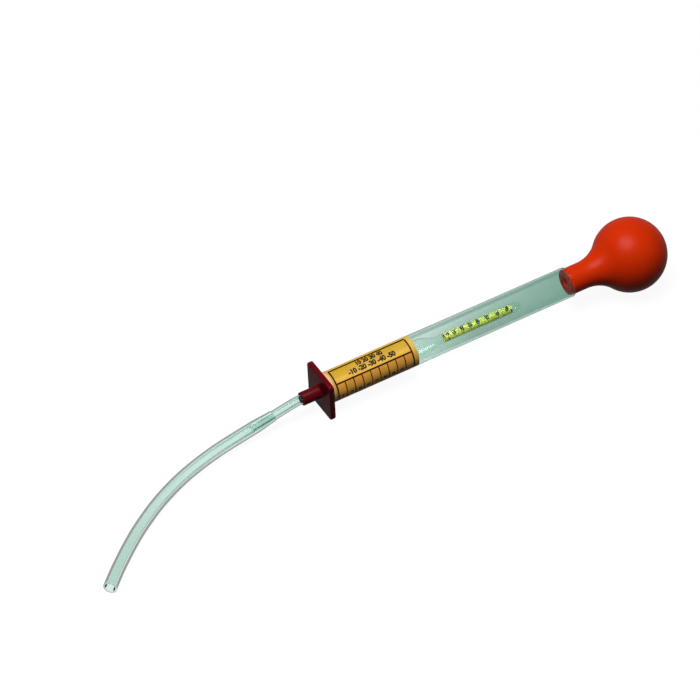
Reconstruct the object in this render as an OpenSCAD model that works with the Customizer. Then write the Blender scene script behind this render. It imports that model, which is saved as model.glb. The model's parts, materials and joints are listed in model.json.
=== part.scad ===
// Coolant hydrometer with a squeeze bulb, lying on a table on its flange and its bulb.
// +X runs along the barrel towards the bulb and +Z is up. The origin is on the table,
// under the middle of the instrument without its hose. Lengths are in millimetres.

/* [Barrel] */
// Outer diameter of the clear barrel
barrel_od = 22; // [20:0.5:28]
// Wall of the barrel
barrel_wall = 1.5; // [1:0.1:2]
// Length from the flange's seat to the rim at the bulb
barrel_len = 198; // [180:1:240]
// Radius of that rim's outer corner
rim_round = 0.6; // [0.2:0.1:0.8]

/* [Scale label] */
// Length of the printed label along the barrel
label_len = 69; // [40:1:90]
// Bare barrel between the flange and the label
label_start = 1; // [0.5:0.5:10]
// Thickness of the label
label_thick = 0.15; // [0.1:0.05:0.4]

/* [Nose stopper] */
// Side of the square flange that keeps the instrument from rolling
flange_side = 32; // [28:0.5:40]
// Thickness of the flange
flange_thick = 4; // [2.5:0.1:6]
// Radius of the flange's corners
flange_corner = 3; // [1:0.1:6]
// Length of the plug inside the barrel
plug_len = 14; // [10:0.5:20]
// Width of the slots that keep the float from sealing the inlet
slot_width = 3; // [1.5:0.1:4]
// Depth of those slots
slot_depth = 2.5; // [1:0.1:4]
// Outer diameter of the spigot in front of the flange
spigot_od = 9.8; // [8.5:0.1:12]
// Length of the spigot
spigot_len = 14; // [8:0.5:25]

/* [Nozzle tube] */
// Outer diameter of the clear nozzle tube
nozzle_od = 7; // [6:0.1:7.4]
// Bore of the nozzle tube
nozzle_bore = 4.8; // [2.5:0.1:5]
// Length that stands out of the spigot
nozzle_out = 41.5; // [30:0.5:42]
// Length of the bend just outside the spigot
nozzle_curve = 8; // [4:0.5:15]
// Angle of that bend
nozzle_bend = 8; // [2:0.5:12]
// Lean of the bend from straight down towards -Y
nozzle_lean = 30; // [0:5:40]
// Length of the stop at the inner end of the stopper's bore
nozzle_stop = 5; // [4:0.5:8]

/* [Hose] */
// Wall of the clear hose
hose_wall = 1.2; // [0.8:0.1:1.3]
// Length of hose pushed on to the nozzle tube
hose_grip = 18; // [10:0.5:25]

/* [Squeeze bulb] */
// Diameter of the bulb's ball
ball_od = 54; // [48:1:58]
// Distance from the barrel's rim to the middle of the ball
ball_reach = 51.5; // [48:0.5:62]
// Wall of the bulb
bulb_wall = 2.5; // [1.5:0.1:2.7]
// Width of the step by which the neck sits on the barrel's rim
neck_step = 0.3; // [0.2:0.1:0.9]
// Bore of the neck
neck_bore = 8; // [5:0.5:11]
// Length of the neck's end that is plugged into the barrel
neck_plug = 2.5; // [2:0.5:8]
// Radius of the hollow flare between neck and ball
flare_r = 28; // [15:1:30]
// Diameter of the patch of wall that the thumb presses in
thumb_od = 32; // [20:1:34]

/* [Float] */
// Diameter of the float's body
float_od = 15; // [12:0.5:15.5]
// Length of the float's body
float_body_len = 62; // [50:1:70]
// Length of the taper from body to stem
float_taper_len = 14; // [8:1:16]
// Diameter of the stem
stem_od = 8; // [6:0.1:9]
// Length of the stem
stem_len = 68; // [66:1:72]
// Wall of the float's envelope
float_wall = 0.8; // [0.5:0.1:1]
// Radius of the edge at the foot of the float
float_foot_round = 2; // [1.5:0.1:3]
// Length of the paper scale in the stem
paper_len = 54; // [40:1:57]
// Distance from the taper to the paper scale
paper_start = 6; // [2:0.5:8]
// Thickness of the rolled paper
paper_thick = 0.2; // [0.1:0.05:0.4]

/* [Ballast] */
// Diameter of one ballast shot
shot_d = 3; // [2:0.1:3]
// Layers of shot
shot_layers = 4; // [2:1:6]
// Length of the wax plug above the shot
wax_len = 5; // [2:0.5:8]

/* [Fits] */
// Sliding clearance around the stopper's plug and the neck's
slide_fit = 0.05; // [0.02:0.01:0.08]
// Clearance between pieces that are glued or pressed together
glue_fit = 0.05; // [0.02:0.01:0.08]
// Gap between the float and what it rests on
rest_gap = 0.3; // [0.2:0.1:0.5]
// Gap between neighbouring shot and between shot and wall
shot_gap = 0.2; // [0.1:0.05:0.4]
// Gap around the thumb's patch of wall
thumb_gap = 0.3; // [0.2:0.1:0.5]
// Bevel on the ends of the plugs and the spigot
bevel = 0.6; // [0.3:0.1:1]

/* [Hidden] */
$fn = 96;
// Overrun of a cut past the face that it opens
over = 1;
// Depth to which joined forms run into each other
weld = 0.3;
// How much the tube is drawn in along its bend
bend_thin = 0.05;
// Steps in the round stretches of a turned outline
arc_steps = 12;

barrel_r = barrel_od / 2;
bore_r = barrel_r - barrel_wall;
flange_half = flange_side / 2;
plug_r = bore_r - slide_fit;
spigot_tip = -flange_thick - spigot_len;
nozzle_r = nozzle_od / 2;
nozzle_seat = plug_len - nozzle_stop;
nozzle_bend_r = nozzle_curve * 180 / (PI * nozzle_bend);
nozzle_bend_to = [0, -sin(nozzle_lean), -cos(nozzle_lean)];

ball_r = ball_od / 2;
ball_x = barrel_len + ball_reach;
neck_plug_r = bore_r - slide_fit;
neck_r = bore_r + neck_step;
flare_back = sqrt(pow(ball_r + flare_r, 2) - pow(neck_r + flare_r, 2));
neck_end = ball_x - flare_back;

float_r = float_od / 2;
stem_r = stem_od / 2;
float_len = float_body_len + float_taper_len + stem_len;
float_x = plug_len + rest_gap;
float_z = -(bore_r - float_r - rest_gap);
float_travel = barrel_len - neck_plug - float_x - float_len - rest_gap;

// The instrument lies on the front lower edge of its flange and on its ball.
lie_reach = ball_x + flange_thick;
lie_angle = asin(ball_r / norm([lie_reach, flange_half])) - atan2(flange_half, lie_reach);
lie_z = flange_half * cos(lie_angle) + flange_thick * sin(lie_angle);
nozzle_end = tilted(on_nozzle(nozzle_out));
nozzle_heading = tilted([-cos(nozzle_bend), 0, 0] + sin(nozzle_bend) * nozzle_bend_to);
low_x = nozzle_end[0] - nozzle_r * sqrt(1 - pow(nozzle_heading[0], 2));
high_x = ball_x * cos(lie_angle) + ball_r;
lie_x = -(low_x + high_x) / 2;

// The hose's route: along the nozzle tube, then down to the table and round towards -Y.
// These points count from the table under the flange's back face.
HOSE_SIDES = 12;
hose_bore_r = nozzle_r + glue_fit;
hose_r = hose_bore_r + hose_wall;
HOSE_LAID = [
    [-67.6, -3.3, 7.8], [-76.2, -4.3, 6.8], [-84.9, -5.6, 6], [-93.4, -7.4, 5.4], [-101.9, -9.7, 5.1],
    [-110.3, -12.4, 4.9], [-118.5, -15.5, 4.9], [-126.5, -19, 4.9], [-134.4, -22.9, 4.9],
    [-142.1, -27, 4.9], [-149.7, -31.5, 4.9], [-157, -36.3, 4.9], [-164.2, -41.3, 4.9],
    [-171.3, -46.5, 4.9], [-178.1, -52, 4.9], [-184.9, -57.7, 4.9], [-191.4, -63.5, 4.9],
    [-197.9, -69.4, 4.9], [-204.2, -75.5, 4.9], [-210.4, -81.7, 4.9]
];
hose_start = [nozzle_out - hose_grip, nozzle_out - hose_grip / 2, nozzle_out];
hose_route = concat(
    [for (s = hose_start) tilted(on_nozzle(s)) + [lie_x, 0, lie_z]],
    [for (p = HOSE_LAID) p + [lie_x, 0, 0]]
);

echo(lie_angle = lie_angle, lie_x = lie_x, lie_z = lie_z, float_travel = float_travel);
echo(hose_length = path_length(hose_route));

// A point of the barrel's own frame, tilted as the instrument lies
function tilted(p) = [
    p[0] * cos(lie_angle) - p[2] * sin(lie_angle), p[1], p[0] * sin(lie_angle) + p[2] * cos(lie_angle)
];

// A point on the nozzle tube's axis, at a distance from the spigot's end
function on_nozzle(s) =
    let(turn = nozzle_bend * min(s / nozzle_curve, 1), past = max(s - nozzle_curve, 0))
    let(back = nozzle_bend_r * sin(turn) + past * cos(nozzle_bend))
    let(aside = nozzle_bend_r * (1 - cos(turn)) + past * sin(nozzle_bend))
    [spigot_tip - back, 0, 0] + aside * nozzle_bend_to;

// Length of a line through points
function path_length(p, i = 1) = i < len(p) ? norm(p[i] - p[i - 1]) + path_length(p, i + 1) : 0;

// Points of an arc, from angle a to angle b
function arc(centre, r, a, b) = [
    for (i = [0:arc_steps]) centre + r * [cos(a + (b - a) * i / arc_steps), sin(a + (b - a) * i / arc_steps)]
];

// Puts what is drawn along the barrel's axis into the lying pose
module lie() {
    translate([lie_x, 0, lie_z])
        rotate([0, -lie_angle, 0])
            children();
}

// Turns an outline of [radius, distance along the axis] about the barrel's axis
module turned(outline) {
    rotate([0, 90, 0])
        rotate_extrude()
            polygon(outline);
}

// A rod along the barrel's axis
module rod(r, from, to) {
    translate([from, 0, 0])
        rotate([0, 90, 0])
            cylinder(r = r, h = to - from);
}

module barrel() {
    rim = arc([barrel_r - rim_round, barrel_len - rim_round], rim_round, 0, 90);
    color([0.72, 0.86, 0.8, 0.5])
        lie()
            turned(concat([[bore_r, 0], [barrel_r, 0]], rim, [[bore_r, barrel_len]]));
}

module scale_label() {
    inside_r = barrel_r + glue_fit;
    outside_r = inside_r + label_thick;
    end = label_start + label_len;
    color([0.93, 0.68, 0.15])
        lie()
            turned([[inside_r, label_start], [outside_r, label_start], [outside_r, end], [inside_r, end]]);
}

// A square plate with round corners, square to the barrel's axis
module flange_plate() {
    straight = flange_side - 2 * flange_corner;
    corner_at = flange_half - flange_corner;
    rotate([0, -90, 0])
        linear_extrude(flange_thick) {
            square([straight, flange_side], center = true);
            square([flange_side, straight], center = true);
            for (u = [-corner_at, corner_at], v = [-corner_at, corner_at])
                translate([u, v])
                    circle(flange_corner);
        }
}

module nose_stopper() {
    root = -flange_thick / 2;
    color([0.3, 0.02, 0.06])
        lie()
            difference() {
                union() {
                    flange_plate();
                    turned([
                        [0, root], [plug_r, root], [plug_r, plug_len - bevel],
                        [plug_r - bevel, plug_len], [0, plug_len]
                    ]);
                    turned([
                        [0, root], [spigot_od / 2, root], [spigot_od / 2, spigot_tip + bevel],
                        [spigot_od / 2 - bevel, spigot_tip], [0, spigot_tip]
                    ]);
                }
                rod(nozzle_r + glue_fit, spigot_tip - over, nozzle_seat);
                rod(nozzle_bore / 2, nozzle_seat - over, plug_len + over);
                for (turn = [0, 90])
                    rotate([turn, 0, 0])
                        translate([plug_len - slot_depth, -slot_width / 2, -plug_r - over])
                            cube([slot_depth + over, slot_width, 2 * (plug_r + over)]);
            }
}

// The nozzle tube's outside or its bore: straight in the stopper, bent just outside it, then straight again
module nozzle_form(r, longer) {
    translate([spigot_tip, 0, 0])
        rotate([-nozzle_lean, 0, 0]) {
            translate([-weld, 0, 0])
                rotate([0, 90, 0])
                    cylinder(r = r, h = nozzle_seat - spigot_tip + weld + longer);
            translate([0, 0, -nozzle_bend_r])
                rotate([0, -90, 90])
                    rotate_extrude(angle = nozzle_bend)
                        translate([nozzle_bend_r, 0])
                            circle(r - bend_thin);
            translate(nozzle_bend_r * [-sin(nozzle_bend), 0, cos(nozzle_bend) - 1])
                rotate([0, -90 - nozzle_bend, 0])
                    translate([0, 0, -weld])
                        cylinder(r = r, h = nozzle_out - nozzle_curve + weld + longer);
        }
}

module nozzle_tube() {
    color([0.8, 0.9, 0.86, 0.6])
        lie()
            difference() {
                nozzle_form(nozzle_r, 0);
                nozzle_form(nozzle_bore / 2, over);
            }
}

// Direction of a route at its point i
function heading(p, i) =
    let(d = p[min(i + 1, len(p) - 1)] - p[max(i - 1, 0)])
    d / norm(d);

// A ring of points about a route's point, with its corners level and upright
function ring(at, along, r) =
    let(side = cross([0, 0, 1], along) / norm(cross([0, 0, 1], along)), up = cross(along, side))
    [
        for (k = [0:HOSE_SIDES - 1])
            at + r * (cos(360 * k / HOSE_SIDES) * side + sin(360 * k / HOSE_SIDES) * up)
    ];

// An open tube swept along a route
module swept_tube(route, r, bore_r) {
    n = HOSE_SIDES;
    last = len(route) - 1;
    outer = [for (i = [0:last]) each ring(route[i], heading(route, i), r)];
    inner = [for (i = [0:last]) each ring(route[i], heading(route, i), bore_r)];
    shift = len(outer);
    next = [for (k = [0:n - 1]) (k + 1) % n];
    outer_faces = [
        for (i = [0:last - 1], k = [0:n - 1])
            each [
                [i * n + k, i * n + next[k], (i + 1) * n + k],
                [i * n + next[k], (i + 1) * n + next[k], (i + 1) * n + k]
            ]
    ];
    inner_faces = [for (f = outer_faces) [f[0] + shift, f[2] + shift, f[1] + shift]];
    start_faces = [
        for (k = [0:n - 1])
            each [[k, shift + k, next[k]], [next[k], shift + k, shift + next[k]]]
    ];
    end_faces = [for (f = start_faces) [f[0] + last * n, f[2] + last * n, f[1] + last * n]];
    polyhedron(concat(outer, inner), concat(outer_faces, inner_faces, start_faces, end_faces));
}

module hose() {
    flat_to_corner = 1 / cos(180 / HOSE_SIDES);
    color([0.8, 0.92, 0.88, 0.6])
        swept_tube(hose_route, hose_r, hose_bore_r * flat_to_corner);
}

// The bulb's outside, or its hollow at a depth under the outside, from a place along the neck
module bulb_form(depth, from) {
    flare_at = [neck_r + flare_r, neck_end];
    to_ball = [-(neck_r + flare_r), flare_back] / (ball_r + flare_r);
    flare = arc(flare_at, flare_r + depth, 180, atan2(to_ball[1], to_ball[0]));
    meets = [0, ball_x] - (ball_r - depth - weld) * to_ball;
    turned(concat(
        [[0, from], [neck_r - depth, from]],
        [for (i = [0:arc_steps - 1]) flare[i]],
        [meets, [0, ball_x]]
    ));
    translate([ball_x, 0, 0])
        sphere(ball_r - depth);
}

// The column above the middle of the ball that the thumb's patch is cut from
module thumb_column(r) {
    translate([ball_x, 0, 0])
        cylinder(r = r, h = ball_r + over);
}

module squeeze_bulb() {
    plug_end = barrel_len - neck_plug;
    color([0.82, 0.2, 0.05])
        lie()
            difference() {
                union() {
                    bulb_form(0, barrel_len);
                    turned([
                        [0, plug_end], [neck_plug_r - bevel, plug_end], [neck_plug_r, plug_end + bevel],
                        [neck_plug_r, barrel_len + weld], [0, barrel_len + weld]
                    ]);
                }
                rod(neck_bore / 2, plug_end - over, neck_end);
                bulb_form(bulb_wall, neck_end - bulb_wall);
                thumb_column(thumb_od / 2 + thumb_gap);
            }
}

module bulb_thumb_wall() {
    color([0.86, 0.24, 0.08])
        lie()
            intersection() {
                difference() {
                    translate([ball_x, 0, 0])
                        sphere(ball_r);
                    translate([ball_x, 0, 0])
                        sphere(ball_r - bulb_wall);
                }
                thumb_column(thumb_od / 2);
            }
}

// Puts what is drawn along the float's axis where the float rests in the barrel
module in_barrel() {
    lie()
        translate([float_x, 0, float_z])
            children();
}

// Outline of the float at a depth under its outside
function float_outline(depth) =
    let(body = float_r - depth, stem = stem_r - depth, foot = float_foot_round - depth)
    let(taper_end = float_body_len + float_taper_len)
    concat(
        [[0, depth]],
        arc([body - foot, depth + foot], foot, -90, 0),
        [
            for (i = [0:arc_steps])
                [
                    stem + (body - stem) * (1 + cos(180 * i / arc_steps)) / 2,
                    float_body_len + float_taper_len * i / arc_steps
                ]
        ],
        arc([0, float_len - stem_r], stem, 0, 90)
    );

module float_glass() {
    color([0.8, 0.92, 0.88, 0.5])
        in_barrel()
            difference() {
                turned(float_outline(0));
                turned(float_outline(float_wall));
            }
}

module float_scale() {
    outside_r = stem_r - float_wall - glue_fit;
    start = float_body_len + float_taper_len + paper_start;
    color([0.75, 0.85, 0.3])
        in_barrel()
            difference() {
                rod(outside_r, start, start + paper_len);
                rod(outside_r - paper_thick, start - over, start + paper_len + over);
            }
}

shot_r = shot_d / 2;
shot_pitch = shot_d + shot_gap;
shot_ring_r = float_r - float_wall - shot_gap - shot_r;
shot_count = floor(180 / asin(shot_pitch / 2 / shot_ring_r));
shot_end = float_wall + shot_gap + shot_layers * shot_pitch;

// Balls set evenly round a ring
module shot_ring(count, r) {
    for (k = [0:count - 1])
        rotate([360 * k / count, 0, 0])
            translate([0, 0, r])
                sphere(shot_r);
}

module ballast_shot() {
    color([0.35, 0.36, 0.38])
        in_barrel()
            for (layer = [0:shot_layers - 1])
                translate([float_wall + shot_gap + shot_r + layer * shot_pitch, 0, 0]) {
                    shot_ring(shot_count, shot_ring_r);
                    sphere(shot_r);
                }
}

module ballast_seal() {
    color([0.85, 0.78, 0.6])
        in_barrel()
            rod(float_r - float_wall - glue_fit, shot_end, shot_end + wax_len);
}

barrel();
scale_label();
nose_stopper();
nozzle_tube();
hose();
squeeze_bulb();
bulb_thumb_wall();
float_glass();
float_scale();
ballast_shot();
ballast_seal();
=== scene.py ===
"""Looks of the coolant hydrometer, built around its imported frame.

Lengths are in metres and angles in degrees.
"""

import json
import math

import bmesh
import bpy
from mathutils import Matrix, Vector


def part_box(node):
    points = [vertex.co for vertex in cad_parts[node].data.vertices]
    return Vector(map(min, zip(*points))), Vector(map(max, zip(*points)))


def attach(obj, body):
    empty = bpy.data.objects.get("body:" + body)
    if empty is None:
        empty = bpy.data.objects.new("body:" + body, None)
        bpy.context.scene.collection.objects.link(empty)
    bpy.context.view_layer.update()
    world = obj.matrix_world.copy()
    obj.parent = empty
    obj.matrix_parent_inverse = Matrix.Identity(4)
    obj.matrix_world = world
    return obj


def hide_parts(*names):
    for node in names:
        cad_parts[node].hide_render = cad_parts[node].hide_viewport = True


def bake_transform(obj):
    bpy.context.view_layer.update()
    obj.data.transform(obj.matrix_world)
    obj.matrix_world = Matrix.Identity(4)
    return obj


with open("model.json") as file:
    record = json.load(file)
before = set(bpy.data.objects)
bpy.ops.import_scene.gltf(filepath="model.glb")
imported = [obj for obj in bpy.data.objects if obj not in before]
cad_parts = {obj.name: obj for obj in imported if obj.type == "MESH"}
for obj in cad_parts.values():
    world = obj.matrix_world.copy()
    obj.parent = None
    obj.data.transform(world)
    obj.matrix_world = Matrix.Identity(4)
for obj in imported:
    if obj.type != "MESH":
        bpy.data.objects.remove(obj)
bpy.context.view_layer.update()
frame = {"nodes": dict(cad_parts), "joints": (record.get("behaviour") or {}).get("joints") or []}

MM = 0.001

# Meshes: a ring under this radius is a pole, points as close as this are one, and wrapped digits are cut
# into stretches of this share of their cylinder's radius
POLE_R = 1e-9
WELD = 1e-7
BEND_SHARE = 0.08

# Sizes of the barrel that the frame's boxes don't give
BARREL_WALL = 1.5 * MM
FOOT_ROUND = 0.3 * MM
RIM_ROUND = 0.6 * MM
RIM_BORE_ROUND = 0.2 * MM

# Label: it starts at the seam's angle from the top, and its end rises over its start in a few degrees
LABEL_THICK = 0.15 * MM
LABEL_OVERLAP = 16
LABEL_RISE = 8
LABEL_SEAM = 200

# Stopper
FLANGE_THICK = 4 * MM
FLANGE_HALF = 16 * MM
FLANGE_CORNER = 3 * MM
FLANGE_EDGE = 0.9 * MM
FLANGE_FLAT_R = FLANGE_HALF - 2.5 * FLANGE_EDGE
PLUG_BEVEL = 0.6 * MM
SLOT_WIDTH = 3 * MM
SLOT_DEPTH = 2.5 * MM
SPIGOT_R = 4.9 * MM
SPIGOT_ROOT = 1.2 * MM
STOPPER_SHARP = 40

# Nozzle tube: it bends in a short curve at the spigot, in a direction that leans from straight down
NOZZLE_BORE_R = 2.4 * MM
NOZZLE_OUT = 41.5 * MM
NOZZLE_CURVE = 8 * MM
NOZZLE_BEND = 8
NOZZLE_LEAN = 30
TUBE_SHARP = 50

# Hose: its route has the same points as its CAD solid. Three lie along the nozzle tube, by their distance
# from the spigot's end, and the others on the table, counted from under the flange's back face
HOSE_DIAMETER = 9.5 * MM
HOSE_START_R = 4.0 * MM
HOSE_BORE_R = 3.57 * MM
HOSE_TAPER = 16 * MM
HOSE_HEAD = [23.5 * MM, 32.5 * MM, 41.5 * MM]
HOSE_LAID = [
    (-0.0676, -0.0033, 0.0078), (-0.0762, -0.0043, 0.0068), (-0.0849, -0.0056, 0.006),
    (-0.0934, -0.0074, 0.0054), (-0.1019, -0.0097, 0.0051), (-0.1103, -0.0124, 0.0049),
    (-0.1185, -0.0155, 0.0049), (-0.1265, -0.019, 0.0049), (-0.1344, -0.0229, 0.0049),
    (-0.1421, -0.027, 0.0049), (-0.1497, -0.0315, 0.0049), (-0.157, -0.0363, 0.0049),
    (-0.1642, -0.0413, 0.0049), (-0.1713, -0.0465, 0.0049), (-0.1781, -0.052, 0.0049),
    (-0.1849, -0.0577, 0.0049), (-0.1914, -0.0635, 0.0049), (-0.1979, -0.0694, 0.0049),
    (-0.2042, -0.0755, 0.0049), (-0.2104, -0.0817, 0.0049),
]

# Bulb
BULB_WALL = 2.5 * MM
NECK_STEP = 0.3 * MM
NECK_BORE_R = 4 * MM
NECK_PLUG = 2.5 * MM
NECK_SOLID = 9 * MM
BALL_R = 27 * MM
FLARE_R = 28 * MM

# Float: the wax's top is a shallow dish, given in its own radius
FLOAT_BODY_LEN = 62 * MM
FLOAT_TAPER_LEN = 14 * MM
FLOAT_STEM_R = 4 * MM
FLOAT_WALL = 0.8 * MM
FLOAT_FOOT_ROUND = 2 * MM
FLOAT_SEGMENTS = 96
PAPER_THICK = 0.2 * MM
WAX_DISH_R = 3.2
WAX_DISH_DIP = 0.2
WAX_DISH_TURN = 17.5
WAX_SEGMENTS = 64

# Small edges, clearances and ink
LIP = 0.4 * MM
FIT = 0.05 * MM
INK_THICK = 0.03 * MM
INK_SUNK = 0.01 * MM
INK_SHARP = 30

# The label's print, between distances along the barrel and angles from the top towards the camera's side
PRINT_LEFT = 5.7 * MM
PRINT_RIGHT = 66 * MM
PRINT_TOP = -16
PRINT_DIVIDER = 44
PRINT_LOW = 118
BLOCK_LEFT = 8 * MM
BLOCK_RIGHT = 17 * MM
BLOCK_TOP = -7
BLOCK_LOW = 22
MARGIN_LEFT = 3.8 * MM
LINE = 1.2 * MM
LINE_TURN = 6
BOXES = 9
BOX_NUMBER_STEP = 5
BOX_NUMBER_SIZE = 3 * MM
BOX_NUMBER_BOLD = 0.14 * MM
BOX_NUMBER_ANGLE = PRINT_DIVIDER + 52

# Rows of numbers on the label's upper panel: the text, its angle and its width
ROW_SIZE = 5 * MM
ROW_BOLD = 0.3 * MM
ROW_MIDDLE = 36 * MM
ROWS = [("10 20 30 40", 0, 21.5 * MM), ("-10 -20 -30 -40 -50", 24, 37.5 * MM)]

# Angles between which the label's panels turn paler, as painted light
UPPER_DEEP = 17
UPPER_PALE = 31
LOWER_DEEP = 60
LOWER_PALE = 80

# The paper scale's print: numbers with ticks in a deeper band, and two short blocks
BAND_TOP = 42
BAND_LOW = 150
SCALE_NUMBER_STEP = 10
SCALE_NUMBER_SIZE = 3.4 * MM
SCALE_NUMBER_BOLD = 0.26 * MM
SCALE_NUMBER_ANGLE = 14
SCALE_PLACES = [place * MM for place in (98.6, 103.6, 110.3, 116.6, 122.8, 130.4, 138.7, 146.3)]
TICK_WIDTH = 0.3 * MM
TICK_TURN = 40
SCALE_BLOCKS = [(99 * MM, 2 * MM, 58, 86), (149.5 * MM, 1.3 * MM, 52, 78)]

# Distances along the barrel where the painted shade of its glass, and of the glass of its underside, is
# lightest and deepest
GLASS_PALE = 60 * MM
GLASS_DEEP = 200 * MM
UNDERSIDE_PALE = 70 * MM
UNDERSIDE_DEEP = 120 * MM

# The clear plastic is darkened with painted shade between these places in x. Its line of painted shade runs
# where its surface faces up by about this much, from its core to its edge
PAINTED_SHADE_START = -0.2
PAINTED_SHADE_END = -0.3
SHADE_LINE_FACING = 0.3
SHADE_LINE_CORE = 0.08
SHADE_LINE_EDGE = 0.28

# Stage: the share of the white surroundings that reflections show, the floor's half width, its lit and its
# even part and what it throws back, the dim light from all round, and the lamp
WHITE = (1, 1, 1, 1)
MIRRORED = 0.3
FLOOR_HALF = 4
FLOOR_LIT = (0.08, 0.08, 0.08, 1)
FLOOR_GLOW = 0.94
FLOOR_BOUNCE = (0.02, 0.02, 0.02, 1)
AMBIENT = 0.02
AMBIENT_TINT = (0.96, 0.98, 1, 1)
LAMP_TOWARDS = (-0.2, -0.06, 1)
LAMP_DISTANCE = 1.6
LAMP_SIZE = 1.1
LAMP_POWER = 28

# The photograph's camera
LENS = 230
SENSOR = 36
CAMERA_AZIMUTH = -30.09
CAMERA_ELEVATION = 44
CAMERA_DISTANCE = 3.1333
CAMERA_AIM = Vector((-0.0649, 0.0392, 0))
CAMERA_REACH = 20


# The barrel's own frame: x along its axis from the flange's back face, z up

def node_points(node):
    return [vertex.co.copy() for vertex in frame["nodes"][node].data.vertices]


def barrel_frame():
    """Matrix from the barrel's own frame to the row frame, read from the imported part."""
    slide = next(joint for joint in frame["joints"] if joint["name"] == "float_slide")
    along = Vector(slide["axis"]).normalized()
    side = Vector((0, 1, 0))
    up = along.cross(side)
    low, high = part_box("scale_label")
    centre = (Vector(low) + Vector(high)) / 2
    start = centre + along * min((point - centre).dot(along) for point in node_points("barrel"))
    matrix = Matrix((along, side, up)).transposed().to_4x4()
    matrix.translation = start
    return matrix


LIE = barrel_frame()
TO_BARREL = LIE.inverted()
ROW_FRAME = Matrix.Identity(4)


def span(node):
    """Where a node starts and ends along the barrel, and its lowest and highest z there."""
    points = [TO_BARREL @ point for point in node_points(node)]
    along = [point.x for point in points]
    heights = [point.z for point in points]
    return min(along), max(along), min(heights), max(heights)


_, BARREL_LEN, _, BARREL_R = span("barrel")
BORE_R = BARREL_R - BARREL_WALL
LABEL_START, LABEL_END, _, LABEL_R = span("scale_label")
SPIGOT_TIP, PLUG_END, _, _ = span("nose_stopper")
PLUG_R = BORE_R - FIT
_, NOZZLE_SEAT, _, NOZZLE_R = span("nozzle_tube")
THUMB_START, THUMB_END, _, _ = span("bulb_thumb_wall")
BALL_X = THUMB_START / 2 + THUMB_END / 2
NECK_R = BORE_R + NECK_STEP
FLOAT_X, FLOAT_TIP, FLOAT_LOW, FLOAT_HIGH = span("float_glass")
FLOAT_Z = (FLOAT_LOW + FLOAT_HIGH) / 2
FLOAT_R = (FLOAT_HIGH - FLOAT_LOW) / 2
PAPER_START, PAPER_END, PAPER_LOW, PAPER_HIGH = span("float_scale")
PAPER_R = (PAPER_HIGH - PAPER_LOW) / 2
WAX_START, WAX_END, WAX_LOW, WAX_HIGH = span("ballast_seal")
WAX_R = (WAX_HIGH - WAX_LOW) / 2


# Outlines of (distance along the barrel, radius)

def arc(centre, radius, start, end, steps=12):
    """Points on an arc. An angle of 0 points along the barrel and 90 away from its axis."""
    angles = [math.radians(start + (end - start) * i / steps) for i in range(steps + 1)]
    return [(centre[0] + radius * math.cos(a), centre[1] + radius * math.sin(a)) for a in angles]


def rounded(corners, steps=6):
    """A closed outline through (along, radius, rounding) corners, each turned with its own rounding."""
    outline = []
    for i, (x, r, rounding) in enumerate(corners):
        here = Vector((x, r))
        before = (Vector(corners[i - 1][:2]) - here).normalized()
        after = (Vector(corners[(i + 1) % len(corners)][:2]) - here).normalized()
        half = before.angle(after) / 2
        centre = here + (before + after).normalized() * (rounding / math.sin(half))
        first = here + before * (rounding / math.tan(half)) - centre
        last = here + after * (rounding / math.tan(half)) - centre
        turn = first.angle(last)
        for step in range(steps + 1):
            t = step / steps
            spoke = (first * math.sin((1 - t) * turn) + last * math.sin(t * turn)) / math.sin(turn)
            outline.append(tuple(centre + spoke))
    return outline


# Meshes

def skin(rings, closed=False):
    """Points and faces of a surface through rings of points.

    A ring of one point is a pole, and two poles have no face between them.
    """
    points = [point for ring in rings for point in ring]
    starts = [sum(len(ring) for ring in rings[:i]) for i in range(len(rings))]
    faces = []
    pairs = list(zip(range(len(rings)), range(1, len(rings))))
    if closed:
        pairs.append((len(rings) - 1, 0))
    for i, j in pairs:
        count = max(len(rings[i]), len(rings[j]))
        for k in range(count):
            near = [starts[i] + n % len(rings[i]) for n in (k, k + 1)]
            far = [starts[j] + n % len(rings[j]) for n in (k + 1, k)]
            face = list(dict.fromkeys(near + far))
            if len(face) > 2:
                faces.append(face)
    return points, faces


def on_cylinder(x, r, turn, height=0):
    """A point about the barrel's axis, or about a line above it. Its angle runs from the top towards -y."""
    return x, -r * math.sin(turn), height + r * math.cos(turn)


def turned_ring(x, r, height=0, segments=128):
    """A ring about the barrel's axis, or about a line above it. A ring of no size is a pole."""
    if r < POLE_R:
        return [(x, 0, height)]
    return [on_cylinder(x, r, 2 * math.pi * k / segments, height) for k in range(segments)]


def turned(outline, height=0, segments=128, closed=True):
    return skin([turned_ring(x, r, height, segments) for x, r in outline], closed)


def bent_bar(x0, x1, sections, height=0):
    """A thin bar bent about the axis, through sections of (angle, inner radius, outer radius)."""
    rings = []
    for angle, low, high in sections:
        corners = [(x0, low), (x0, high), (x1, high), (x1, low)]
        rings.append([on_cylinder(x, r, math.radians(angle), height) for x, r in corners])
    points, faces = skin(rings)
    last = len(points)
    return points, faces + [[3, 2, 1, 0], [last - 4, last - 3, last - 2, last - 1]]


def joined(parts):
    """Several pieces of geometry as one."""
    points, faces = [], []
    for more_points, more_faces in parts:
        shift = len(points)
        points += more_points
        faces += [[shift + i for i in face] for face in more_faces]
    return points, faces


def linked(name, data):
    """A new object in the scene."""
    obj = bpy.data.objects.new(name, data)
    bpy.context.scene.collection.objects.link(obj)
    return obj


def evaluated_mesh(obj):
    """A new mesh of what an object shows, with its letters or its modifiers."""
    return bpy.data.meshes.new_from_object(obj.evaluated_get(bpy.context.evaluated_depsgraph_get()))


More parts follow.
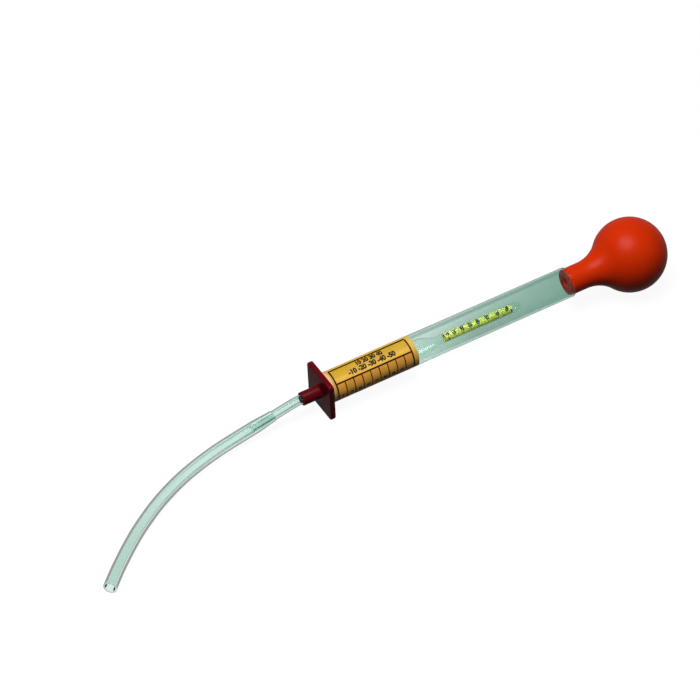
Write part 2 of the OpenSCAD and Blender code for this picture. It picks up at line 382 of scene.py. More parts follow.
def piece(name, geometry, look, sharp=35, place=LIE):
    """A smooth shaded object from geometry in the barrel's own frame, or in another."""
    points, faces = geometry
    mesh = bpy.data.meshes.new(name)
    mesh.from_pydata(points, [], faces)
    mesh.shade_smooth()
    mesh.set_sharp_from_angle(angle=math.radians(sharp))
    mesh.materials.append(look)
    obj = linked(name, mesh)
    obj.matrix_world = place
    return obj


# Ink on a cylinder

def strip(x0, x1, a0, a1, radius, height=0, step=3):
    """A thin curved band of ink, between two distances and two angles."""
    count = max(1, round(abs(a1 - a0) / step))
    angles = [a0 + (a1 - a0) * i / count for i in range(count + 1)]
    return bent_bar(x0, x1, [(a, radius - INK_SUNK, radius + INK_THICK) for a in angles], height)


def flat_digits(text, size, bold):
    """Digits of ink in one plane, about its origin, in a mesh to work on."""
    curve = bpy.data.curves.new("numeral", "FONT")
    curve.body = text
    curve.size = size
    curve.align_x = "CENTER"
    curve.align_y = "CENTER"
    curve.offset = bold
    curve.extrude = (INK_THICK + INK_SUNK) / 2
    holder = linked("numeral", curve)
    mesh = evaluated_mesh(holder)
    bpy.data.objects.remove(holder)
    work = bmesh.new()
    work.from_mesh(mesh)
    bpy.data.meshes.remove(mesh)
    return work


def slice_up(work, way, longest):
    """Cuts a mesh across a direction, into stretches short enough to be bent."""
    reach = max(abs(vertex.co.dot(way)) for vertex in work.verts)
    slices = max(2, math.ceil(2 * reach / longest))
    for i in range(1, slices):
        everything = work.verts[:] + work.edges[:] + work.faces[:]
        cut = way * (reach * (2 * i / slices - 1))
        bmesh.ops.bisect_plane(work, geom=everything, plane_co=cut, plane_no=way)
    bmesh.ops.remove_doubles(work, verts=work.verts, dist=WELD)
    work.verts.index_update()


def numeral(text, size, x, angle, radius, height=0, upright=False, bold=0.0, width=None):
    """Wrapped digits of ink. They run along the cylinder, or around it if upright, and may fill a width."""
    work = flat_digits(text, size, bold)
    if width:
        fill = width / (2 * max(abs(vertex.co.x) for vertex in work.verts))
        bmesh.ops.scale(work, vec=(fill, 1, 1), verts=work.verts)
    slice_up(work, Vector((1, 0, 0)) if upright else Vector((0, 1, 0)), BEND_SHARE * radius)
    points = []
    for vertex in work.verts:
        across, along, lift = vertex.co
        around = across if upright else -along
        forward = along if upright else across
        r = radius + (INK_THICK - INK_SUNK) / 2 + lift
        points.append(on_cylinder(x + forward, r, math.radians(angle) + around / radius, height))
    faces = [[vertex.index for vertex in face.verts] for face in work.faces]
    work.free()
    return points, faces


# Materials

class Nodes:
    """A node tree, built call by call."""

    def __init__(self, tree):
        self.tree = tree

    def feed(self, socket, value):
        """Links a socket to another node's output, or sets its value."""
        if isinstance(value, bpy.types.NodeSocket):
            self.tree.links.new(value, socket)
        else:
            socket.default_value = value

    def add(self, kind, inputs, output=0, **settings):
        """A node with its inputs fed, by name or number, and one of its outputs."""
        node = self.tree.nodes.new(kind)
        for key, value in settings.items():
            setattr(node, key, value)
        for key, value in inputs.items():
            self.feed(node.inputs[key], value)
        return node.outputs[output]

    def math(self, operation, a, b=0.0):
        return self.add("ShaderNodeMath", {0: a, 1: b}, operation=operation)


class Look(Nodes):
    """A node material around one Principled shader."""

    def __init__(self, name, **values):
        self.material = bpy.data.materials.new(name)
        self.material.use_nodes = True
        super().__init__(self.material.node_tree)
        self.shader = self.tree.nodes["Principled BSDF"]
        for socket, value in values.items():
            self.set(socket.replace("_", " "), value)

    def set(self, socket, value):
        self.feed(self.shader.inputs[socket], value)

    def output(self, socket, value):
        self.feed(self.tree.nodes["Material Output"].inputs[socket], value)

    def coordinate(self, axis, kind="Object"):
        """One axis of the place on the object, or with the kind Normal of the way that the surface faces."""
        vector = self.add("ShaderNodeTexCoord", {}, kind)
        return self.add("ShaderNodeSeparateXYZ", {"Vector": vector}, axis)

    def angle(self, height=0.0):
        """The angle from the top towards -y, about the barrel's axis or about a line above it."""
        sideways = self.math("MULTIPLY", self.coordinate("Y"), -1.0)
        up = self.math("SUBTRACT", self.coordinate("Z"), height)
        return self.math("MULTIPLY", self.math("ARCTAN2", sideways, up), 180 / math.pi)

    def between(self, value, low, high):
        """1 where a value lies between two others, and 0 elsewhere."""
        above = self.math("GREATER_THAN", value, low)
        return self.math("MULTIPLY", above, self.math("LESS_THAN", value, high))

    def noise(self, scale, detail=4, stretch=(1, 1, 1)):
        where = self.add("ShaderNodeTexCoord", {}, "Object")
        mapped = self.add("ShaderNodeMapping", {"Vector": where, "Scale": stretch})
        return self.add("ShaderNodeTexNoise", {"Vector": mapped, "Scale": scale, "Detail": detail})

    def spread(self, value, low, high, from_low=0.3, from_high=0.7):
        """A value brought from one range to another. Noise lies mostly in the range that is the default."""
        inputs = {"Value": value, "From Min": from_low, "From Max": from_high, "To Min": low, "To Max": high}
        return self.add("ShaderNodeMapRange", inputs)

    def mix(self, factor, a, b):
        return self.add("ShaderNodeMix", {0: factor, 6: a, 7: b}, 2, data_type="RGBA")

    def shade(self, colour, share):
        """A colour times a share."""
        inputs = {0: 1.0, 6: colour, 7: share}
        return self.add("ShaderNodeMix", inputs, 2, data_type="RGBA", blend_type="MULTIPLY")

    def mottle(self, scale, a, b, detail=4, from_low=0.3, from_high=0.7):
        """Two colours in clouds."""
        return self.mix(self.spread(self.noise(scale, detail), 0, 1, from_low, from_high), a, b)

    def rough(self, scale, low, high, detail=4):
        """A roughness that varies between two values."""
        self.set("Roughness", self.spread(self.noise(scale, detail), low, high))

    def grain(self, scale, distance, strength, detail=4, stretch=(1, 1, 1)):
        """A fine relief."""
        inputs = {"Height": self.noise(scale, detail, stretch), "Distance": distance, "Strength": strength}
        self.set("Normal", self.add("ShaderNodeBump", inputs))

    def absorb(self, colour, density):
        """What lies behind a longer way through the material is darker and more of its colour."""
        self.output("Volume", self.add("ShaderNodeVolumeAbsorption", {"Color": colour, "Density": density}))

    def let_lamps_through(self, tint):
        """Lamps shine through the surface, so what lies inside and behind it is lit."""
        shadow = self.add("ShaderNodeLightPath", {}, "Is Shadow Ray")
        clear = self.add("ShaderNodeBsdfTransparent", {"Color": tint})
        both = self.add("ShaderNodeMixShader", {0: shadow, 1: self.shader.outputs[0], 2: clear})
        self.output("Surface", both)


def rgb(red, green, blue):
    """A colour as it is seen, from 0 to 255, as the shader's linear colour."""
    linear = []
    for level in (red, green, blue):
        share = level / 255
        linear.append(share / 12.92 if share <= 0.04045 else ((share + 0.055) / 1.055) ** 2.4)
    return (*linear, 1)


def barrel_glass():
    """Tinted drawn tube with faint lengthwise draw lines.

    Its tint is deepened with painted shade towards the bulb, along its upper back and along its underside.
    """
    look = Look("barrel_glass", Transmission_Weight=1.0, IOR=1.22)
    along, height = look.coordinate("X"), look.coordinate("Z")
    # Painted shade: the tint deepens towards the bulb
    shade_towards_bulb = look.spread(along, 0, 1, GLASS_PALE, GLASS_DEEP)
    colour = look.mix(shade_towards_bulb, rgb(250, 253, 251), rgb(192, 219, 209))
    # Painted shade along the upper back
    back = look.spread(look.coordinate("Y"), 0, 1, 0, BARREL_R)
    upper_back_shade = look.math("MULTIPLY", back, look.math("GREATER_THAN", height, 0.0))
    colour = look.mix(upper_back_shade, colour, rgb(170, 196, 186))
    # Painted shade on the underside, deeper past the label
    past_label = look.spread(along, 0, 1, UNDERSIDE_PALE, UNDERSIDE_DEEP)
    underside = look.mix(past_label, rgb(214, 234, 225), rgb(178, 200, 190))
    low = look.spread(height, 1, 0, -BARREL_R, BARREL_R / 2)
    look.set("Base Color", look.mix(low, colour, underside))
    look.rough(120, 0.0, 0.05)
    look.grain(900, 0.02 * MM, 0.2, detail=3, stretch=(0.02, 1, 1))
    look.absorb((0.82, 0.88, 0.865, 1), 340)
    look.let_lamps_through(rgb(248, 252, 250))
    return look.material


def float_envelope():
    look = Look("float_envelope", Transmission_Weight=1.0, IOR=1.47)
    look.set("Base Color", look.mottle(60, rgb(246, 252, 249), rgb(238, 248, 244)))
    look.rough(200, 0.0, 0.04)
    look.let_lamps_through(rgb(250, 253, 252))
    return look.material


def soft_clear(name, density):
    """Clear soft plastic with a little milkiness in it.

    It is darkened with painted shade towards the hose's open end, and has a line of painted shade along one
    side.
    """
    look = Look(name, IOR=1.2)
    # Painted shade, darker towards the hose's open end
    shade_along = look.spread(look.coordinate("X"), 0, 1, PAINTED_SHADE_START, PAINTED_SHADE_END)
    colour = look.mix(shade_along, rgb(250, 255, 253), rgb(228, 241, 235))
    # A line of painted shade on one side, where the surface faces a little upwards
    off_line = look.math("SUBTRACT", look.coordinate("Z", "Normal"), SHADE_LINE_FACING)
    line = look.spread(look.math("ABSOLUTE", off_line), 1, 0, SHADE_LINE_CORE, SHADE_LINE_EDGE)
    one_side = look.math("LESS_THAN", look.coordinate("Y", "Normal"), 0.0)
    colour = look.mix(look.math("MULTIPLY", line, one_side), colour, rgb(134, 158, 148))
    cloud = look.noise(60, detail=3)
    look.set("Base Color", look.mix(look.spread(cloud, 0, 0.3), colour, rgb(226, 242, 235)))
    look.set("Transmission Weight", look.spread(cloud, 0.984, 0.976))
    look.rough(90, 0.02, 0.04)
    look.absorb((0.74, 0.9, 0.85, 1), density)
    look.let_lamps_through(rgb(244, 250, 247))
    return look.material


def label_paper():
    """Printed paper: a bright upper panel with a deeper block, an amber lower one and a margin round both."""
    look = Look("label_paper", Specular_IOR_Level=0.3, Coat_Weight=0.1, Coat_Roughness=0.3)
    x, angle = look.coordinate("X"), look.angle()
    inside = look.between(x, PRINT_LEFT, PRINT_RIGHT)
    upper = look.math("MULTIPLY", inside, look.between(angle, PRINT_TOP, PRINT_DIVIDER))
    block = look.math("MULTIPLY", upper, look.between(x, BLOCK_LEFT, BLOCK_RIGHT))
    block = look.math("MULTIPLY", block, look.between(angle, BLOCK_TOP, BLOCK_LOW))
    # Painted light: the lower panel turns paler further round from the top
    lower_painted_light = look.spread(angle, 0, 1, LOWER_DEEP, LOWER_PALE)
    lower_colour = look.mix(lower_painted_light, rgb(242, 168, 60), rgb(255, 186, 76))
    # Painted light: the upper panel turns paler further round from the top
    upper_painted_light = look.spread(angle, 0, 1, UPPER_DEEP, UPPER_PALE)
    upper_colour = look.mix(upper_painted_light, rgb(214, 170, 44), rgb(255, 196, 70))
    to_end = look.spread(x, 0, 1, PRINT_RIGHT, LABEL_END)
    margin = look.mix(to_end, rgb(246, 194, 60), rgb(224, 192, 92))
    beside_lower = look.math("GREATER_THAN", angle, PRINT_DIVIDER)
    margin = look.mix(beside_lower, margin, look.mix(0.6, margin, lower_colour))
    margin = look.mix(look.math("LESS_THAN", x, PRINT_LEFT), margin, rgb(228, 170, 70))
    margin = look.mix(look.math("LESS_THAN", x, MARGIN_LEFT), margin, rgb(250, 196, 140))
    panels = look.math("MULTIPLY", inside, look.between(angle, PRINT_TOP, 180))
    colour = look.mix(panels, margin, lower_colour)
    colour = look.mix(upper, colour, upper_colour)
    colour = look.mix(block, colour, rgb(222, 172, 16))
    look.set("Base Color", look.shade(colour, look.spread(look.noise(140, detail=6), 0.86, 1.0)))
    look.rough(600, 0.4, 0.6)
    look.grain(1800, 0.02 * MM, 0.5, detail=5)
    return look.material


def ink(name, dark, worn):
    look = Look(name, Specular_IOR_Level=0.2)
    look.set("Base Color", look.mottle(900, dark, worn))
    look.rough(500, 0.45, 0.65)
    return look.material


def stopper_plastic():
    """Dark red moulded plastic with a fine grain and slightly paler rubbed patches."""
    look = Look("stopper_plastic", Specular_IOR_Level=0.06)
    colour = look.mottle(90, rgb(98, 8, 18), rgb(116, 14, 26), detail=6, from_low=0.45, from_high=0.75)
    look.set("Base Color", colour)
    look.rough(300, 0.24, 0.36, detail=6)
    look.grain(1500, 0.03 * MM, 0.35)
    return look.material


def bulb_rubber():
    """Satin orange-red rubber with a faint bloom and a fine grain, darkened with painted shade at the end in
    the barrel.
    """
    look = Look("bulb_rubber", Specular_IOR_Level=0.085)
    colour = look.mottle(45, rgb(211, 46, 2), rgb(216, 53, 6), detail=8, from_low=0.4, from_high=0.75)
    # Painted shade on the plug's end inside the barrel
    painted_shade = look.add("ShaderNodeAttribute", {}, "Fac", attribute_name="painted_shade")
    look.set("Base Color", look.mix(painted_shade, colour, rgb(168, 20, 4)))
    look.rough(160, 0.3, 0.38, detail=6)
    look.grain(1200, 0.04 * MM, 0.3, detail=5)
    return look.material


def scale_paper():
    """Yellow-green paper of the float's scale, deeper in the band below its numbers."""
    look = Look("scale_paper", Specular_IOR_Level=0.3)
    band = look.between(look.angle(FLOAT_Z), BAND_TOP, BAND_LOW)
    colour = look.mix(band, rgb(186, 178, 82), rgb(178, 171, 28))
    look.set("Base Color", look.shade(colour, look.spread(look.noise(900, detail=6), 0.9, 1.0)))
    look.rough(500, 0.6, 0.8)
    look.grain(2000, 0.02 * MM, 0.5, detail=5)
    return look.material


def shot_metal():
    look = Look("shot_metal", Metallic=1.0)
    look.set("Base Color", look.mottle(500, rgb(128, 130, 134), rgb(96, 98, 104)))
    look.rough(700, 0.35, 0.6)
    look.grain(900, 0.05 * MM, 0.4)
    return look.material


def seal_wax():
    look = Look("seal_wax", Subsurface_Weight=0.3, Subsurface_Scale=2 * MM)
    look.set("Base Color", look.mottle(200, rgb(226, 208, 164), rgb(206, 184, 132)))
    look.rough(300, 0.4, 0.6)
    look.grain(400, 0.1 * MM, 0.4)
    return look.material


# Barrel

def build_barrel():
    outline = rounded([
        (0, BORE_R, FOOT_ROUND), (0, BARREL_R, FOOT_ROUND),
        (BARREL_LEN, BARREL_R, RIM_ROUND), (BARREL_LEN, BORE_R, RIM_BORE_ROUND),
    ])
    barrel = piece("barrel_tube", turned(outline), barrel_glass())
    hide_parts("barrel")
    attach(barrel, "barrel")


# Label

def label_sheet():
    """A paper sheet wound round the barrel, with its end lapped over its start."""
    steps = 144
    sections = []
    for i in range(steps + 1):
        turn = (360 + LABEL_OVERLAP) * i / steps
        lap = min(1, max(0, (turn - 360 + LABEL_RISE) / LABEL_RISE))
        low = LABEL_R - LABEL_THICK + lap * LABEL_THICK
        sections.append((LABEL_SEAM + turn, low, low + LABEL_THICK))
    return bent_bar(LABEL_START, LABEL_END, sections)


def label_print():
    """Border lines, a row of boxes and plain numbers."""
    half_turn, half_line = LINE_TURN / 2, LINE / 2
    parts = [
        strip(PRINT_LEFT, PRINT_RIGHT, PRINT_TOP - LINE_TURN, PRINT_TOP + half_turn, LABEL_R),
        strip(PRINT_LEFT, PRINT_RIGHT, PRINT_DIVIDER - half_turn, PRINT_DIVIDER + half_turn, LABEL_R),
        strip(PRINT_LEFT - half_line, PRINT_LEFT + half_line, PRINT_TOP, PRINT_LOW, LABEL_R),
        strip(PRINT_RIGHT - half_line, PRINT_RIGHT + half_line, PRINT_TOP, PRINT_LOW, LABEL_R),
    ]
    pitch = (PRINT_RIGHT - PRINT_LEFT) / BOXES
    for i in range(1, BOXES):
        x = PRINT_LEFT + i * pitch
        middle = x - pitch / 2
        parts.append(strip(x - LINE / 3, x + LINE / 3, PRINT_DIVIDER, PRINT_LOW, LABEL_R))
        parts.append(numeral(
            str(BOX_NUMBER_STEP * i), BOX_NUMBER_SIZE, middle, BOX_NUMBER_ANGLE, LABEL_R,
            bold=BOX_NUMBER_BOLD,
        ))
    for text, angle, width in ROWS:
        parts.append(numeral(text, ROW_SIZE, ROW_MIDDLE, angle, LABEL_R, bold=ROW_BOLD, width=width))
    return joined(parts)


def build_label():
    label = piece("wrapped_label", label_sheet(), label_paper(), sharp=60)
    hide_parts("scale_label")
    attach(label, "barrel")
    black = ink("label_ink", rgb(22, 10, 2), rgb(40, 20, 5))
    marks = piece("label_print", label_print(), black, INK_SHARP)
    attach(marks, "barrel")


# Stopper

def square_ring(x, inset):
    """A ring along the flange's outline, drawn in by an inset, with most of its points on the corners."""
    half, corner = FLANGE_HALF - inset, FLANGE_CORNER - inset
    straight = half - corner
    side_steps, corner_steps = 10, 14
    quarter = [(straight * i / side_steps, half) for i in range(side_steps)]
    for i in range(corner_steps):
        a = math.radians(90 - 90 * i / corner_steps)
        quarter.append((straight + corner * math.cos(a), straight + corner * math.sin(a)))
    quarter += [(half, straight * (1 - i / side_steps)) for i in range(side_steps)]
    ring = []
    for turn in range(4):
        for u, v in quarter:
            for _ in range(turn):
                u, v = v, -u
            ring.append((x, -u, v))
    return ring


def round_ring(x, r):
    """A ring about the axis whose points lie at the same angles as the flange's."""
    spokes = [Vector((y, z)).normalized() * r for _, y, z in square_ring(0, 0)]
    return [(x, *spoke) for spoke in spokes]


def stopper_rings():
    """Rings from the spigot's bore over its outside, the flange and the plug, and back to the bore's end."""
    front = -FLANGE_THICK
    bore = NOZZLE_R + FIT
    tip = arc((SPIGOT_TIP + LIP, SPIGOT_R - LIP), LIP, 180, 90, 4)
    root = arc((front - SPIGOT_ROOT, SPIGOT_R + SPIGOT_ROOT), SPIGOT_ROOT, -90, 0, 6)
    spigot = [(SPIGOT_TIP + LIP, bore), (SPIGOT_TIP, bore + LIP), *tip, *root, (front, FLANGE_FLAT_R)]
    rings = [round_ring(x, r) for x, r in spigot]
    edge_turns = range(0, 91, 15)
    for face, way, turns in ((front, 1, reversed(edge_turns)), (0, -1, edge_turns)):
        for turn in turns:
            depth = FLANGE_EDGE * (1 - math.sin(math.radians(turn)))
            inset = FLANGE_EDGE * (1 - math.cos(math.radians(turn)))
            rings.append(square_ring(face + way * depth, inset))
    plug = [
        (0, FLANGE_FLAT_R), (0, PLUG_R), (PLUG_END - PLUG_BEVEL, PLUG_R), (PLUG_END, PLUG_R - PLUG_BEVEL),
        (PLUG_END, NOZZLE_BORE_R), (NOZZLE_SEAT, NOZZLE_BORE_R), (NOZZLE_SEAT, bore),
    ]
    return rings + [round_ring(x, r) for x, r in plug]


def cut_slots(obj):
    """Cuts the cross slots into the plug's end."""
    size = Matrix.Diagonal((2 * SLOT_DEPTH, SLOT_WIDTH, 4 * PLUG_R, 1))
    for turn in (0, 90):
        place = Matrix.Translation((PLUG_END, 0, 0)) @ Matrix.Rotation(math.radians(turn), 4, "X")
        work = bmesh.new()
        bmesh.ops.create_cube(work, size=1, matrix=place @ size)
        cutter = bpy.data.meshes.new("cutter")
        work.to_mesh(cutter)
        work.free()
        box = linked("cutter", cutter)
        box.matrix_world = obj.matrix_world
        cut = obj.modifiers.new("slot", "BOOLEAN")
        cut.operation = "DIFFERENCE"
        cut.object = box
        bpy.context.view_layer.update()
        mesh = evaluated_mesh(obj)
        obj.modifiers.clear()
        obj.data = mesh
        bpy.data.objects.remove(box)


def build_stopper():
    stopper = piece("stopper", skin(stopper_rings(), True), stopper_plastic(), STOPPER_SHARP)
    cut_slots(stopper)
    stopper.data.set_sharp_from_angle(angle=math.radians(STOPPER_SHARP))
    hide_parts("nose_stopper")
    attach(stopper, "nose")


# Nozzle tube and hose

def on_nozzle(distance):
    """A point on the nozzle tube's axis, at a distance from the spigot's end."""
    bend, lean = math.radians(NOZZLE_BEND), math.radians(NOZZLE_LEAN)
    radius = NOZZLE_CURVE / bend
    turn = bend * min(distance / NOZZLE_CURVE, 1)
    past = max(distance - NOZZLE_CURVE, 0)
    back = radius * math.sin(turn) + past * math.cos(bend)
    aside = radius * (1 - math.cos(turn)) + past * math.sin(bend)
    return Vector((SPIGOT_TIP - back, 0, 0)) + aside * Vector((0, -math.sin(lean), -math.cos(lean)))


def tube(path, radii, bores, rim=0.25 * MM, sides=48):
    """An open tube along a path, with a radius and a bore for each of its points and rounded rims."""
    last = len(path) - 1

    def ring(i, r, shift=0.0):
        along = (path[min(i + 1, last)] - path[max(i - 1, 0)]).normalized()
        side = Vector((0, 0, 1)).cross(along).normalized()
        up = along.cross(side)
        middle = path[i] + along * shift
        turns = [2 * math.pi * k / sides for k in range(sides)]
        return [tuple(middle + r * (math.sin(a) * side + math.cos(a) * up)) for a in turns]

    def rim_rings(i, way):
        outer, inner = radii[i], bores[i]
        return [ring(i, inner, way), ring(i, inner + rim / 2), ring(i, outer - rim), ring(i, outer, way)]

    outside = [ring(i, radii[i]) for i in range(1, last)]
    inside = [ring(i, bores[i]) for i in range(last - 1, 0, -1)]
    return skin([*rim_rings(0, rim), *outside, *rim_rings(last, -rim)[::-1], *inside], True)


def build_nozzle():
    steps = 14
    path = [Vector((NOZZLE_SEAT, 0, 0)), Vector((SPIGOT_TIP / 2, 0, 0))]
    path += [on_nozzle(NOZZLE_OUT * i / steps) for i in range(steps + 1)]
    tubing = tube(path, [NOZZLE_R] * len(path), [NOZZLE_BORE_R] * len(path))
    nozzle = piece("nozzle", tubing, soft_clear("nozzle_clear", density=60), TUBE_SHARP)
    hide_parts("nozzle_tube")
    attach(nozzle, "nose")


def smooth_path(points, steps=6):
    """A smooth curve through points, closer together than they are."""
    path = []
    for i in range(len(points) - 1):
        a, b, c, d = (points[max(0, min(len(points) - 1, i + k))] for k in (-1, 0, 1, 2))
        for step in range(steps):
            t = step / steps
            bend = (2 * a - 5 * b + 4 * c - d) * t * t + (3 * b - a - 3 * c + d) * t ** 3
            path.append(b + 0.5 * ((c - a) * t + bend))
    return path + [points[-1]]


def hose_radii(path):
    """Radii and bores along the hose.

    It is thin and tight at its start, where it is stretched over the nozzle tube, and soon has its full size.
    """
    radii, bores, gone = [], [], 0.0
    for i, point in enumerate(path):
        gone += (point - path[max(0, i - 1)]).length
        share = min(1, gone / HOSE_TAPER)
        radii.append(HOSE_START_R + (HOSE_DIAMETER / 2 - HOSE_START_R) * share * share * (3 - 2 * share))
        bores.append(NOZZLE_R - FIT if gone < HOSE_HEAD[-1] - HOSE_HEAD[0] else HOSE_BORE_R)
    return radii, bores


def build_hose():
    under_flange = Vector((LIE.translation.x, 0, 0))
    head = [LIE @ on_nozzle(distance) for distance in HOSE_HEAD]
    path = smooth_path(head + [Vector(point) + under_flange for point in HOSE_LAID])
    tubing = tube(path, *hose_radii(path))
    hose = piece("pick_up_hose", tubing, soft_clear("hose_clear", density=90), TUBE_SHARP, ROW_FRAME)
    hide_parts("hose")
    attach(hose, "nose")
    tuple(path[0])


# Bulb

def bulb_outline(depth, start, steps):
    """Neck, flare and ball at a depth under the outside, from a place along the neck to the ball's pole."""
    flare_back = math.sqrt((BALL_R + FLARE_R) ** 2 - (NECK_R + FLARE_R) ** 2)
    lean = math.degrees(math.atan2(NECK_R + FLARE_R, flare_back))
    neck_end = BALL_X - flare_back
    neck_steps = 8
    neck = [(start + (neck_end - start) * i / neck_steps, NECK_R - depth) for i in range(1, neck_steps)]
    flare = arc((neck_end, NECK_R + FLARE_R), FLARE_R + depth, -90, -lean, steps)
    ball = arc((BALL_X, 0), BALL_R - depth, 180 - lean, 0, 2 * steps)
    return neck + flare + ball[1:]


def bulb_section():
    """The whole outline of the bulb: its plug in the barrel, its outside, its hollow and the neck's bore."""
    plug_end = BARREL_LEN - NECK_PLUG
    hollow_start = BARREL_LEN + NECK_SOLID
    plug_lip = arc((plug_end + LIP, PLUG_R - LIP), LIP, 180, 90, 4)
    plug = [(plug_end, NECK_BORE_R + LIP), *plug_lip, (BARREL_LEN, PLUG_R)]
    step = arc((BARREL_LEN + LIP / 2, NECK_R - LIP / 2), LIP / 2, 180, 90, 4)
    outside = bulb_outline(0, BARREL_LEN + LIP, steps=28)
    inside = bulb_outline(BULB_WALL, hollow_start, steps=24)[::-1]
    bore = [(hollow_start, NECK_R - BULB_WALL), (hollow_start, NECK_BORE_R), (plug_end + LIP, NECK_BORE_R)]
    return plug + step + outside + inside + bore


def build_bulb():
    bulb = piece("squeeze_bulb_rubber", turned(bulb_section()), bulb_rubber(), sharp=60)
    # Painted shade: the part inside the barrel is marked for a darker colour
    painted_shade = bulb.data.attributes.new("painted_shade", "FLOAT", "POINT")
    painted_shade.data.foreach_set("value", [float(v.co.x < BARREL_LEN - LIP) for v in bulb.data.vertices])
    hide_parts("squeeze_bulb", "bulb_thumb_wall")
    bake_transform(bulb)


# Float

def float_outline(depth):
    """The float's body, taper and stem at a depth under its outside, from its foot to its tip."""
    body, stem, foot = FLOAT_R - depth, FLOAT_STEM_R - depth, FLOAT_FOOT_ROUND - depth
    taper_start = FLOAT_X + FLOAT_BODY_LEN
    steps = 24
    taper = []
    for i in range(steps + 1):
        share = (1 + math.cos(math.pi * i / steps)) / 2
        taper.append((taper_start + FLOAT_TAPER_LEN * i / steps, stem + (body - stem) * share))
    foot_arc = arc((FLOAT_X + depth + foot, body - foot), foot, 180, 90, 8)
    tip = arc((FLOAT_TIP - FLOAT_STEM_R, 0), stem, 90, 0)
    return [(FLOAT_X + depth, 0), *foot_arc, *taper, *tip]


def float_print():
    """Plain numbers and ticks on the paper scale, and two short blocks."""
    parts = []
    for i, x in enumerate(SCALE_PLACES):
        parts.append(numeral(
            str(SCALE_NUMBER_STEP * i), SCALE_NUMBER_SIZE, x, SCALE_NUMBER_ANGLE, PAPER_R, FLOAT_Z,
            upright=True, bold=SCALE_NUMBER_BOLD,
        ))
        ends = (x - TICK_WIDTH / 2, x + TICK_WIDTH / 2)
        parts.append(strip(*ends, BAND_TOP, BAND_TOP + TICK_TURN, PAPER_R, FLOAT_Z))
    for x, width, top, low in SCALE_BLOCKS:
        parts.append(strip(x - width / 2, x + width / 2, top, low, PAPER_R, FLOAT_Z))
    return joined(parts)


def build_float():
    outer = turned(float_outline(0), FLOAT_Z, FLOAT_SEGMENTS, False)
    inner = turned(float_outline(FLOAT_WALL)[::-1], FLOAT_Z, FLOAT_SEGMENTS, False)
    envelope = piece("float_envelope", joined([outer, inner]), float_envelope())
    roll = [
        (PAPER_START, PAPER_R - PAPER_THICK), (PAPER_START, PAPER_R),
        (PAPER_END, PAPER_R), (PAPER_END, PAPER_R - PAPER_THICK),
    ]
    paper = piece("paper_scale", turned(roll, FLOAT_Z, FLOAT_SEGMENTS), scale_paper())
    black = ink("scale_ink", rgb(18, 20, 4), rgb(32, 36, 8))
    marks = piece("paper_print", float_print(), black, INK_SHARP)
    dish_middle = (WAX_END + (WAX_DISH_R - WAX_DISH_DIP) * WAX_R, 0)
    dish = arc(dish_middle, WAX_DISH_R * WAX_R, 180 - WAX_DISH_TURN, 180, 10)
    seal = turned([(WAX_START, 0), (WAX_START, WAX_R), *dish], FLOAT_Z, WAX_SEGMENTS, False)
    wax = piece("wax_seal", seal, seal_wax())
    for obj, node, slot in (
        (envelope, "float_glass", "float_envelope"),
        (paper, "float_scale", "scale_paper"),
        (wax, "ballast_seal", "seal_wax"),
    ):
        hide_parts(node)
    for obj in (envelope, paper, marks, wax):
        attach(obj, "float")
    shot = frame["nodes"]["ballast_shot"]
    shot.data.materials.clear()
    shot.data.materials.append(shot_metal())


# Stage

def seen_directly(nodes):
    """1 for what the camera sees, also through glass, a share for reflections and 0 for other light."""
    seen = nodes.add("ShaderNodeLightPath", {}, "Is Camera Ray")
    for ray, share in (("Is Transmission Ray", 1.0), ("Is Glossy Ray", MIRRORED)):
        part = nodes.math("MULTIPLY", nodes.add("ShaderNodeLightPath", {}, ray), share)
        seen = nodes.math("MAXIMUM", seen, part)
    return seen


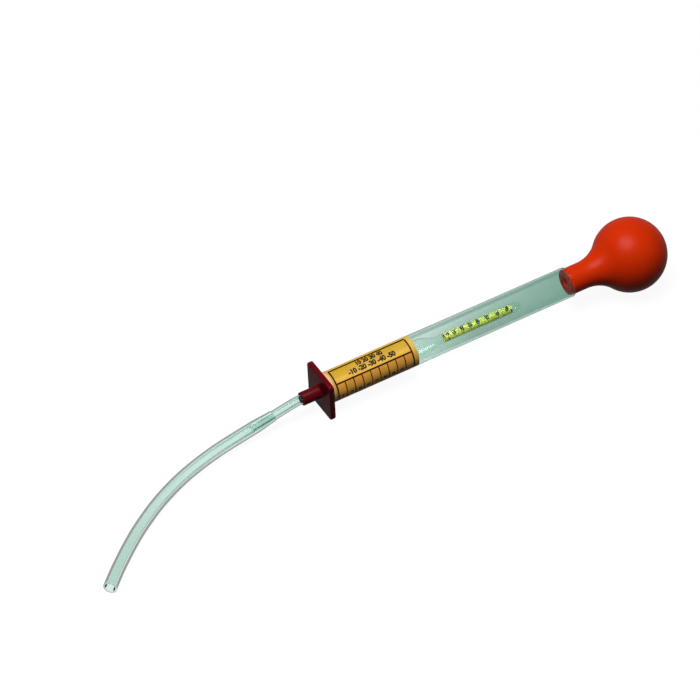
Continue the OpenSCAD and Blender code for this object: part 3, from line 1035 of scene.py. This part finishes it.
def build_floor():
    look = Look("floor")
    lit = look.add("ShaderNodeBsdfDiffuse", {"Color": FLOOR_LIT})
    glow = look.add("ShaderNodeEmission", {"Color": WHITE, "Strength": FLOOR_GLOW})
    seen = look.add("ShaderNodeAddShader", {0: lit, 1: glow})
    bounce = look.add("ShaderNodeBsdfDiffuse", {"Color": FLOOR_BOUNCE})
    look.output("Surface", look.add("ShaderNodeMixShader", {0: seen_directly(look), 1: bounce, 2: seen}))
    half = FLOOR_HALF
    corners = [(-half, -half, 0), (half, -half, 0), (half, half, 0), (-half, half, 0)]
    floor = piece("floor", (corners, [[0, 1, 2, 3]]), look.material, place=ROW_FRAME)


def build_world():
    world = bpy.data.worlds.new("studio")
    world.use_nodes = True
    bpy.context.scene.world = world
    sky = Nodes(world.node_tree)
    ambient = sky.tree.nodes["Background"]
    sky.feed(ambient.inputs["Color"], AMBIENT_TINT)
    sky.feed(ambient.inputs["Strength"], AMBIENT)
    white = sky.add("ShaderNodeBackground", {"Color": WHITE})
    both = sky.add("ShaderNodeMixShader", {0: seen_directly(sky), 1: ambient.outputs[0], 2: white})
    sky.feed(sky.tree.nodes["World Output"].inputs["Surface"], both)


def build_lamp():
    lamp = bpy.data.lights.new("overhead", "AREA")
    lamp.shape = "DISK"
    lamp.size = LAMP_SIZE
    lamp.energy = LAMP_POWER
    obj = linked("overhead", lamp)
    towards = Vector(LAMP_TOWARDS).normalized()
    obj.location = towards * LAMP_DISTANCE
    obj.rotation_euler = towards.to_track_quat("Z", "Y").to_euler()


def build_camera():
    azimuth, elevation = math.radians(CAMERA_AZIMUTH), math.radians(CAMERA_ELEVATION)
    level = math.cos(elevation)
    forward = Vector((-math.sin(azimuth) * level, math.cos(azimuth) * level, -math.sin(elevation)))
    camera = bpy.data.cameras.new("camera")
    camera.lens = LENS
    camera.sensor_width = SENSOR
    camera.clip_end = CAMERA_REACH
    obj = linked("camera", camera)
    obj.location = CAMERA_AIM - forward * CAMERA_DISTANCE
    obj.rotation_euler = forward.to_track_quat("-Z", "Y").to_euler()
    bpy.context.scene.camera = obj


build_camera()
build_hose()
build_nozzle()
build_stopper()
build_barrel()
build_label()
build_bulb()
build_float()
build_floor()
build_world()
build_lamp()
bpy.context.scene.view_settings.view_transform = "Standard"
